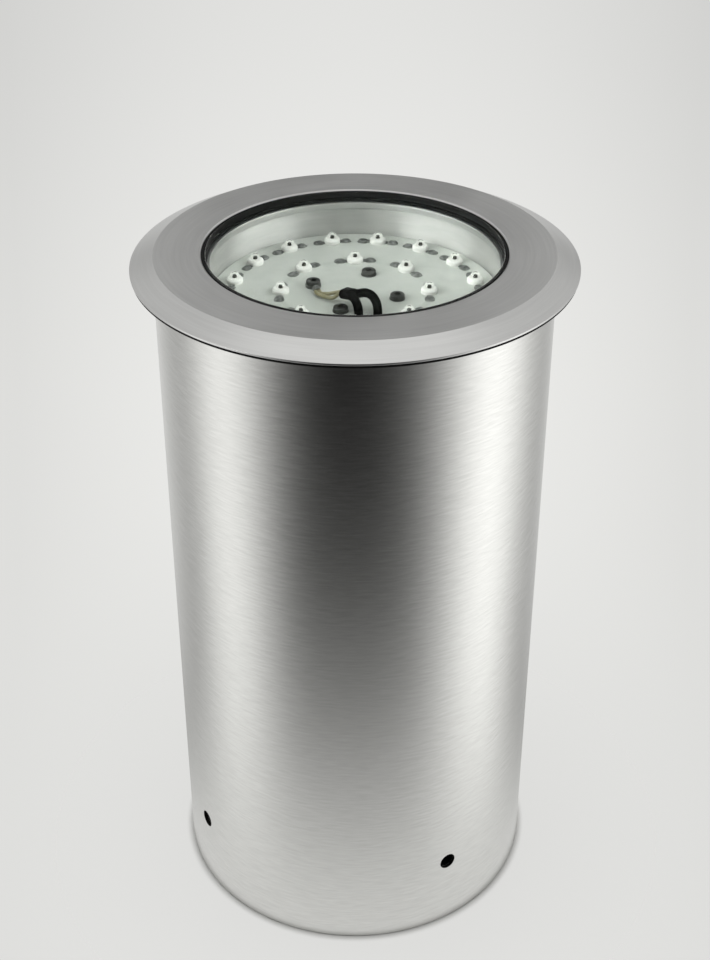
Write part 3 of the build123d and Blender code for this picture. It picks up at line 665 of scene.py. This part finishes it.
# lamp can, with what closes it and holds it
can = {"wall": 1.5, "edge": 0.3}
canRadius, canFoot, canTop = boxOf("lamp_can")
outline = tubeOutline(canRadius - can["wall"], canRadius, canFoot, canTop, can["edge"])
settle(turnPiece("lampCan", outline, "can_steel"), "lamp_can")
for name, node in {
    "canFlange": "can_flange", "canBase": "can_base", "flangeScrews": "flange_screws",
    "springClipFirst": "spring_clip_1", "springClipSecond": "spring_clip_2",
    "springClipThird": "spring_clip_3", "glandBody": "gland_body", "glandSeal": "gland_seal",
    "glandWasher": "gland_washer", "glandNut": "gland_nut",
}.items():
    weldNode(name, node)
print("lamp can made")

# light board with the holes for the leads
board = {"edge": 0.2, "holeRadius": 2.1, "holes": ((1.6, -24.5), (10.0, -22.4)), "holeSegments": 40,
         "drillReach": 2.0}
boardRadius, boardFoot, boardTop = boxOf("led_board")
outline = easeCorners([
    (0, boardFoot, 0), (boardRadius, boardFoot, board["edge"]),
    (boardRadius, boardTop, board["edge"]), (0, boardTop, 0),
])
lightBoard = turnPiece("lightBoard", outline, "board_white", loop=False)
for across, along in board["holes"]:
    hole = plugOutline(board["holeRadius"], boardFoot - board["drillReach"], boardTop + board["drillReach"])
    drill = turnPiece("drill", hole, "board_white", board["holeSegments"], loop=False)
    for vertex in drill.data.vertices:
        vertex.co += Vector((across, along, 0)) * mm
    cutAway(lightBoard, drill)
settle(lightBoard, "led_board")
print("board made")

# LEDs: moulded bodies, clear caps, dark chips and soldered leads, in two rings
led = {"bodyRadius": 3.8, "bodyHeight": 2.4, "shoulder": 0.75, "footEdge": 0.1, "shoulderEdge": 0.3,
       "capRadius": 2.3, "capHeight": 2.8, "capSunk": 0.05, "capSteps": 10,
       "chipRadius": 0.7, "chipHeight": 0.9, "chipFoot": 0.05, "chipEdge": 0.2, "segments": 40}
pad = {"length": 5.2, "width": 4.6, "height": 1.2, "offset": 7.0, "squareness": 3, "fullness": 3,
       "rings": 6, "corners": 22,
       "stripWidth": 2.4, "stripHeight": 0.4, "stripBevel": 0.08, "bevelSteps": 2}
padScatter = {"lumps": 0.55, "yaw": 4.0, "growth": 0.06}
ledRings = {
    "outer": {"count": 16, "radius": 56.0, "turn": 11.25, "seed": 5},
    "inner": {"count": 8, "radius": 33.5, "turn": 0.0, "seed": 9},
}


def ledBody():
    half = led["bodyRadius"]
    top = led["bodyHeight"]
    return easeCorners([
        (0, 0, 0), (half, 0, led["footEdge"]), (half, top - led["shoulder"], led["shoulderEdge"]),
        (half - led["shoulder"], top, led["shoulderEdge"]), (0, top, 0),
    ])


def ledCap():
    # a short wall and a round crown
    half = led["capRadius"]
    foot = led["bodyHeight"] - led["capSunk"]
    wallTop = led["bodyHeight"] + led["capHeight"] - half
    turns = [math.pi / 2 * step / led["capSteps"] for step in range(led["capSteps"])]
    crown = [(half * math.cos(turn), wallTop + half * math.sin(turn)) for turn in turns]
    return [(0, foot), (half, foot), *crown, (0, wallTop + half)]


def ledChip():
    half = led["chipRadius"]
    foot = led["bodyHeight"]
    top = foot + led["chipHeight"]
    return easeCorners([
        (0, foot, 0), (half, foot, led["chipFoot"]), (half, top, led["chipEdge"]), (0, top, 0),
    ])


def solderMound(shape, centre):
    # a low mound on a squarish oval
    power = pad["squareness"]
    loops = []
    for step in range(pad["rings"]):
        share = 1 - step / pad["rings"]
        rise = Vector((0, 0, pad["height"] * (1 - share ** pad["fullness"])))
        loop = []
        for corner in range(pad["corners"]):
            turn = math.tau * corner / pad["corners"]
            reach = (abs(math.cos(turn)) ** power + abs(math.sin(turn)) ** power) ** (-1 / power)
            spot = Vector((pad["width"] * math.cos(turn), pad["length"] * math.sin(turn), 0))
            loop.append(shape.verts.new(centre + (spot * reach * share / 2 + rise) * mm))
        loops.append(loop)
    for outer, inner in zip(loops, loops[1:]):
        for corner in range(pad["corners"]):
            after = (corner + 1) % pad["corners"]
            shape.faces.new((outer[corner], outer[after], inner[after], inner[corner]))
    shape.faces.new(loops[-1])
    shape.faces.new(loops[0][::-1])


def solderedLeads():
    # two mounds of solder, one each side, with a flat strip from the body into each
    shape = bmesh.new()
    for side in (-1, 1):
        solderMound(shape, Vector((0, side * pad["offset"], 0)) * mm)
        start = led["bodyRadius"]
        run = pad["offset"] - start
        size = Vector((pad["stripWidth"], run, pad["stripHeight"])) * mm
        spot = Vector((0, side * (start + run / 2), pad["stripHeight"] / 2)) * mm
        strip = bmesh.ops.create_cube(shape, size=1)["verts"]
        for vertex in strip:
            vertex.co = Vector(a * b for a, b in zip(vertex.co, size)) + spot
        edges = list(dict.fromkeys(edge for vertex in strip for edge in vertex.link_edges))     # each once
        bmesh.ops.bevel(shape, geom=edges, offset=pad["stripBevel"] * mm, segments=pad["bevelSteps"],
                        affect="EDGES")
    mesh = bpy.data.meshes.new("solderedLeads")
    shape.to_mesh(mesh)
    shape.free()
    return mesh


def ledPiece(outline):
    # one turned piece for a ring of copies
    piece = turnPiece("loose", outline, "led_white", led["segments"], loop=False)
    mesh = piece.data
    bpy.data.objects.remove(piece)
    return mesh


for label, ledRing in ledRings.items():
    setRing(label + "LedBodies", label + "_led_bodies", ledPiece(ledBody()), ledRing, boardTop)
    setRing(label + "LedCaps", label + "_led_domes", ledPiece(ledCap()), ledRing, boardTop)
    setRing(label + "LedChips", label + "_led_dies", ledPiece(ledChip()), ledRing, boardTop)
    setRing(label + "LedLeads", label + "_led_leads", solderedLeads(), ledRing, boardTop, **padScatter)
print("LEDs made")

# board screws with their washers, one of them over the earth lug
washer = {"radius": 3.6, "height": 0.5, "hole": 2.25, "holeEdge": 0.1, "footEdge": 0.15, "topEdge": 0.2}
screw = {"radius": 3.3, "height": 1.9, "rounding": 0.6, "footEdge": 0.15, "shank": 2.0, "length": 9.0,
         "tipEdge": 0.3, "neckEdge": 0.1, "segments": 40, "yaw": 25}
socket = {"width": 2.5, "depth": 1.0, "above": 1.0, "sides": 6}
screwRing = {"count": 4, "radius": 20.0, "turn": -18.5, "seed": 3}
overLug = {"raised": 2, "rise": 0.8}
outline = easeCorners([
    (washer["hole"], 0, washer["holeEdge"]), (washer["radius"], 0, washer["footEdge"]),
    (washer["radius"], washer["height"], washer["topEdge"]),
    (washer["hole"], washer["height"], washer["holeEdge"]),
])
loose = turnPiece("loose", outline, "fastener_steel", screw["segments"])
setRing("boardWashers", "board_washers", loose.data, screwRing, boardTop, **overLug)
bpy.data.objects.remove(loose)
outline = easeCorners([
    (0, -screw["length"], 0), (screw["shank"], -screw["length"], screw["tipEdge"]),
    (screw["shank"], 0, screw["neckEdge"]), (screw["radius"], 0, screw["footEdge"]),
    (screw["radius"], screw["height"], screw["rounding"]), (0, screw["height"], 0),
])
loose = turnPiece("loose", outline, "fastener_steel", screw["segments"], loop=False)
outline = plugOutline(
    socket["width"] / math.sqrt(3), screw["height"] - socket["depth"], screw["height"] + socket["above"])
cutAway(loose, turnPiece("socket", outline, "fastener_steel", socket["sides"], loop=False))
setRing("boardScrews", "board_screws", loose.data, screwRing, boardTop + washer["height"],
        yaw=screw["yaw"], **overLug)
bpy.data.objects.remove(loose)
weldNode("earthLug", "earth_lug")
lead = {"black": 0.5, "olive": 0.2}     # how far the soft sheaths swell
for name, node in {
    "leadBoot": "lead_boot", "blackLeadLeft": "black_lead_left", "blackLeadRight": "black_lead_right",
}.items():
    weldNode(name, node, lead["black"])
for name, node in {"oliveLeadLeft": "tan_lead_left", "oliveLeadRight": "tan_lead_right"}.items():
    weldNode(name, node, lead["olive"])
print("screws and leads made")

# floor that fades out, so that the background shows past it
floor = {
    "reach": 1400, "drop": 0.2, "segments": 96, "grainScale": 300.0, "roughness": 0.9,
    "colour": (0.75, 0.75, 0.735, 1), "dark": (0.71, 0.71, 0.695, 1),
    # mirrored pale tones: the darker one is painted shade behind the sleeve
    "pale": (0.96, 0.96, 0.945, 1), "shadedBackPale": (0.45, 0.45, 0.44, 1), "shadedBackSpan": (-70 * mm, 90 * mm),
    "seenPale": (0.77, 0.77, 0.755, 1), "paleShare": 0.85,
    "contact": 4 * mm, "fade": 175 * mm, "fadePower": 1.5,
}


def floorPaper():
    material, tree, shader = newFinish("floorPaper")
    place = objectPlace(tree)
    paper = mixColour(tree, speckle(tree, place, floor["grainScale"]), floor["dark"], floor["colour"])
    setInputs(tree, shader, {"Base Color": paper, "Roughness": floor["roughness"]})
    past = calc(tree, "SUBTRACT", axisPlace(tree)[1], sleeveRadius * mm)
    outside = softRamp(tree, past, (0.0, floor["contact"]))     # keeps the shadow at the foot
    # mostly a pale tone where it is seen or mirrored; where mirrored it carries painted shade, darker behind the
    # sleeve
    path = addNode(tree, "ShaderNodeLightPath").outputs
    seen = calc(tree, "MAXIMUM", path["Is Camera Ray"], path["Is Glossy Ray"])
    seen = calc(tree, "MAXIMUM", seen, path["Is Transmission Ray"])
    seen = calc(tree, "MULTIPLY", calc(tree, "MULTIPLY", seen, floor["paleShare"]), outside)
    # painted shade: in reflections the floor turns darker towards the back, behind the sleeve
    back = softRamp(tree, splitPoint(tree, place)[1], floor["shadedBackSpan"])
    tone = mixColour(tree, back, floor["pale"], floor["shadedBackPale"])
    tone = mixColour(tree, path["Is Camera Ray"], tone, floor["seenPale"])
    pale = addNode(tree, "ShaderNodeEmission", {"Color": tone, "Strength": 1.0}).outputs[0]
    lit = mixShader(tree, seen, shader.outputs[0], pale)
    # clear further out, and from underneath
    past = calc(tree, "DIVIDE", calc(tree, "MAXIMUM", past, 0.0), floor["fade"])
    past = calc(tree, "POWER", past, floor["fadePower"])
    share = calc(tree, "POWER", math.e, calc(tree, "MULTIPLY", past, -1.0))
    below = addNode(tree, "ShaderNodeNewGeometry").outputs["Backfacing"]
    share = calc(tree, "MULTIPLY", share, calc(tree, "SUBTRACT", 1.0, below))
    clear = addNode(tree, "ShaderNodeBsdfTransparent").outputs[0]
    showShader(tree, mixShader(tree, share, clear, lit))
    return material


outline = [(0, -floor["drop"]), (floor["reach"], -floor["drop"])]
floorMesh = turnPiece("floor", outline, "led_white", floor["segments"], loop=False)
if floorMesh.data.polygons[0].normal.z < 0:
    floorMesh.data.flip_normals()
floorMesh.data.materials.clear()
floorMesh.data.materials.append(floorPaper())

# studio: soft boxes at both sides and behind, light overhead, and bright panels that light the can's wall
studio = {
    # turn from the front in degrees: spread in degrees, and level
    "boxes": {-138: (18, 0.2), -81: (21, 1.22), 86: (24, 1.53), 180: (38, 0.76)},
    "panels": {-54: (8, 56.0), -82: (15, 13.5), 62: (9, 19.0), 84: (16, 18.0)},
    "panelTop": 0.15, "panelOut": 0.07,     # shares of their level: in their upper half, and outside
    "front": 0.06, "behind": 0.7, "behindLow": 0.6, "overhead": 1.05, "flag": 0.0,
    # where a direction's rise, from -1 straight down to 1 straight up, changes the light
    "boxesEnd": (0.0, 0.15), "behindRise": (0.1, 0.4), "overheadRise": (0.74, 0.95),
    "panelFoot": (0.12, 0.16), "panelHalf": (0.36, 0.42), "panelHead": (0.68, 0.8),
    "flagFoot": (0.305, 0.325), "flagHead": (0.5, 0.52), "backdropRise": (-0.5, -0.2),
    # where its reach to the back does
    "behindSpan": (-0.5, 0.1), "flagSpan": (0.9915, 0.9962),
    "backdrop": (0.85, 0.85, 0.83, 1), "backdropTop": (0.745, 0.745, 0.73, 1), "white": (1, 1, 0.985, 1),
    "edgeFall": 3.2, "edgeLow": 0.86,       # how the backdrop dims to the sides, and its lowest share
    "glassFaces": 2.0,                      # faces passed by a ray that the glass mirrors inside
}


def softBoxes(tree, flat, boxes):
    level = 0.0
    for turn, (spread, strength) in boxes.items():
        middle = (math.sin(math.radians(turn)), -math.cos(math.radians(turn)), 0)
        facing = vectorCalc(tree, "DOT_PRODUCT", {0: flat, 1: middle})["Value"]
        off = calc(tree, "DIVIDE", calc(tree, "SUBTRACT", facing, 1.0), math.radians(spread) ** 2)
        level = calc(tree, "MULTIPLY_ADD", calc(tree, "POWER", math.e, off), strength, level)
    return level


def lightPanels(tree, flat, up, path):
    panels = ramp(tree, up, studio["panelFoot"], 0, 1)
    panels = calc(tree, "MULTIPLY", panels, ramp(tree, up, studio["panelHead"], 1, 0))
    panels = calc(tree, "MULTIPLY", panels, ramp(tree, up, studio["panelHalf"], 1, studio["panelTop"]))
    # they shine in through the glass and only a little on the outside, and the glass doesn't mirror them
    passes = path["Transmission Depth"]
    passes = calc(tree, "MULTIPLY_ADD", path["Is Transmission Ray"], -studio["glassFaces"], passes)
    outer = calc(tree, "MULTIPLY_ADD", path["Is Singular Ray"], -studio["panelOut"], studio["panelOut"])
    panels = calc(tree, "MULTIPLY", panels, blend(tree, passes, outer, 1))
    return calc(tree, "MULTIPLY", panels, softBoxes(tree, flat, studio["panels"]))


def studioLight(tree):
    parts = splitPoint(tree, addNode(tree, "ShaderNodeTexCoord").outputs["Generated"])
    up = parts[2]
    flat = vectorCalc(tree, "NORMALIZE", {0: pointOf(tree, parts[0], parts[1], 0.0)})[0]
    path = addNode(tree, "ShaderNodeLightPath").outputs
    light = softRamp(tree, parts[1], studio["behindSpan"], studio["front"], studio["behind"])
    light = calc(tree, "MULTIPLY", light, softRamp(tree, up, studio["behindRise"], studio["behindLow"]))
    boxes = softBoxes(tree, flat, studio["boxes"])
    light = blend(tree, softRamp(tree, up, studio["boxesEnd"]), boxes, light)
    light = blend(tree, softRamp(tree, up, studio["overheadRise"]), light, studio["overhead"])
    light = calc(tree, "ADD", light, lightPanels(tree, flat, up, path))
    # a dark flag behind, where the glass would mirror the light
    flag = softRamp(tree, splitPoint(tree, flat)[1], studio["flagSpan"])
    flag = calc(tree, "MULTIPLY", flag, ramp(tree, up, studio["flagFoot"], 0, 1))
    flag = calc(tree, "MULTIPLY", flag, ramp(tree, up, studio["flagHead"], 1, 0))
    light = blend(tree, flag, light, studio["flag"])
    # the backdrop that is seen directly
    height = softRamp(tree, up, studio["backdropRise"])
    backdrop = mixColour(tree, height, studio["backdrop"], studio["backdropTop"])
    aside = calc(tree, "MULTIPLY", parts[0], parts[0])
    dim = calc(tree, "MULTIPLY_ADD", aside, -studio["edgeFall"], 1.0)
    dim = calc(tree, "MAXIMUM", dim, studio["edgeLow"])
    seen = path["Is Camera Ray"]
    setInputs(tree, tree.nodes["Background"], {
        "Color": mixColour(tree, seen, studio["white"], backdrop),
        "Strength": blend(tree, seen, light, dim),
    })


world = bpy.data.worlds.new("studio")
scene.world = world
world.use_nodes = True
studioLight(world.node_tree)
lamps = {
    "topLamp": {"at": (-0.35, 0.35, 1.5), "size": 1.2, "power": 2.6},
    "frontLamp": {"at": (0.5, -0.9, 1.3), "size": 0.8, "power": 2.5},
}
lampAim = Vector((0, 0, 0.2))
for name, lamp in lamps.items():
    data = bpy.data.lights.new(name, "AREA")
    data.energy = lamp["power"]
    data.size = lamp["size"]
    holder = bpy.data.objects.new(name, data)
    scene.collection.objects.link(holder)
    holder.location = lamp["at"]
    holder.rotation_euler = (lampAim - holder.location).to_track_quat("-Z", "Y").to_euler()
    holder.visible_camera = False
    holder.visible_glossy = False
    holder.visible_transmission = False
scene.view_settings.view_transform = "Standard"

# camera at the photograph's place
view = {"at": (0.0, -0.6433, 0.6259), "tilt": 57.69, "lens": 58.8, "clipStart": 0.01}
cameraData = bpy.data.cameras.new("camera")
cameraData.lens = view["lens"]
cameraData.clip_start = view["clipStart"]
camera = bpy.data.objects.new("camera", cameraData)
scene.collection.objects.link(camera)
camera.location = view["at"]
camera.rotation_euler = (math.radians(view["tilt"]), 0, 0)
scene.camera = camera
print("studio and camera set")
